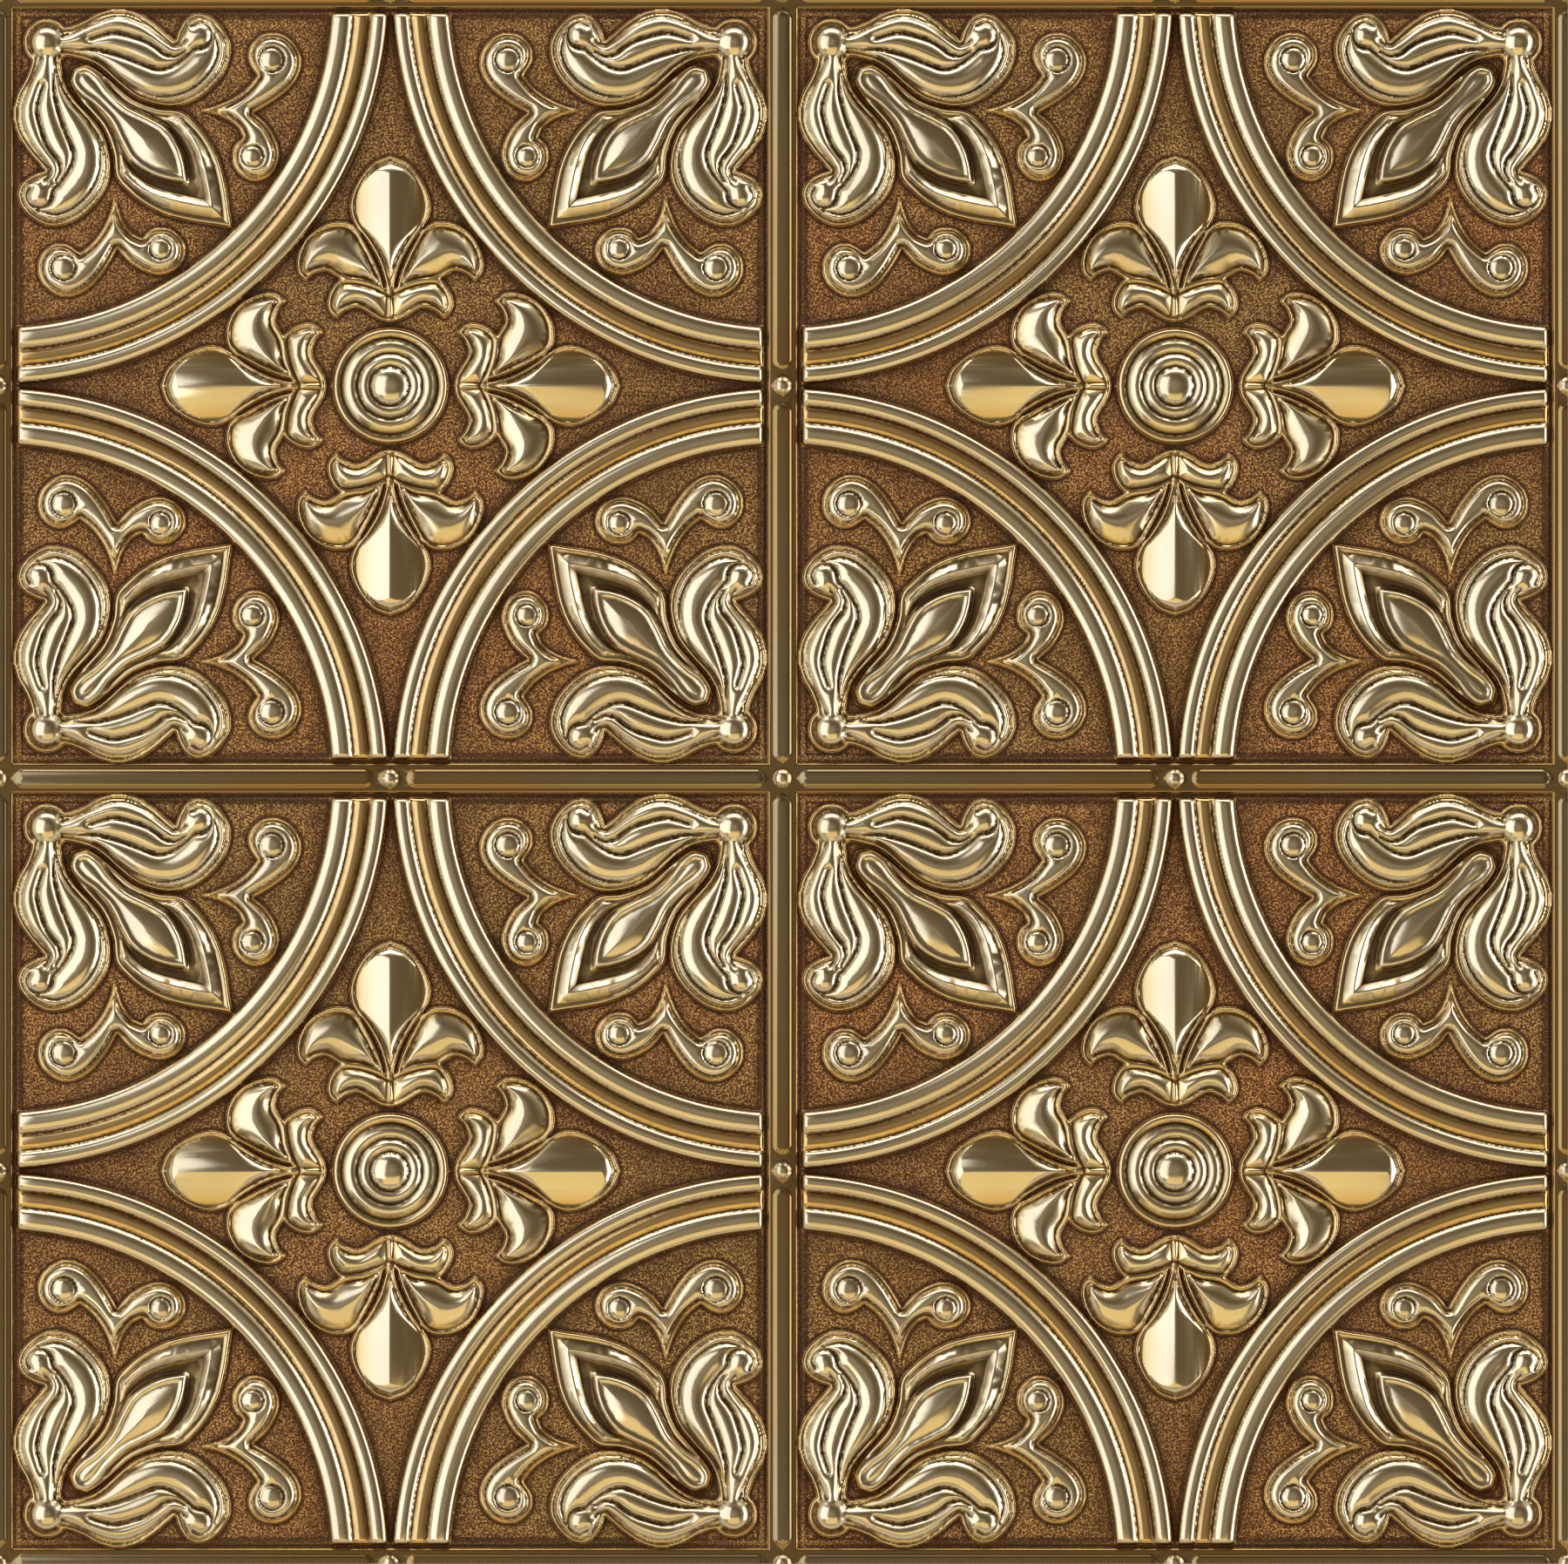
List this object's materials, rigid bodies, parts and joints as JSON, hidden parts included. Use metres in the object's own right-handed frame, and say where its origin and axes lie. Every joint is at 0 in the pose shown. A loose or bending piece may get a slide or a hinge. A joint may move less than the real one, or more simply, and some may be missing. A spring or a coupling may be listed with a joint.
{
  "type": "embossed tin tile",
  "caption": "Square pressed tinplate wall or ceiling tile with a raised ornament of rosettes, quarter-round beaded bands, leaves and a bar-and-bead border, stuck on by its back.",
  "frame": {"origin": "middle of the tile in plan, on the flat back of the ground", "axes": "+X and +Y along the tile's sides, +Z out of the face towards the viewer"},
  "size_m": [0.3048, 0.3048, 0.0029],
  "materials": {
    "bronzed_tin": "antique gold lacquer, bright on the raised forms and dark brown in the hollows"
  },
  "bodies": {
    "root": {"embossed_sheet": "bronzed_tin"}
  },
  "joints": []
}
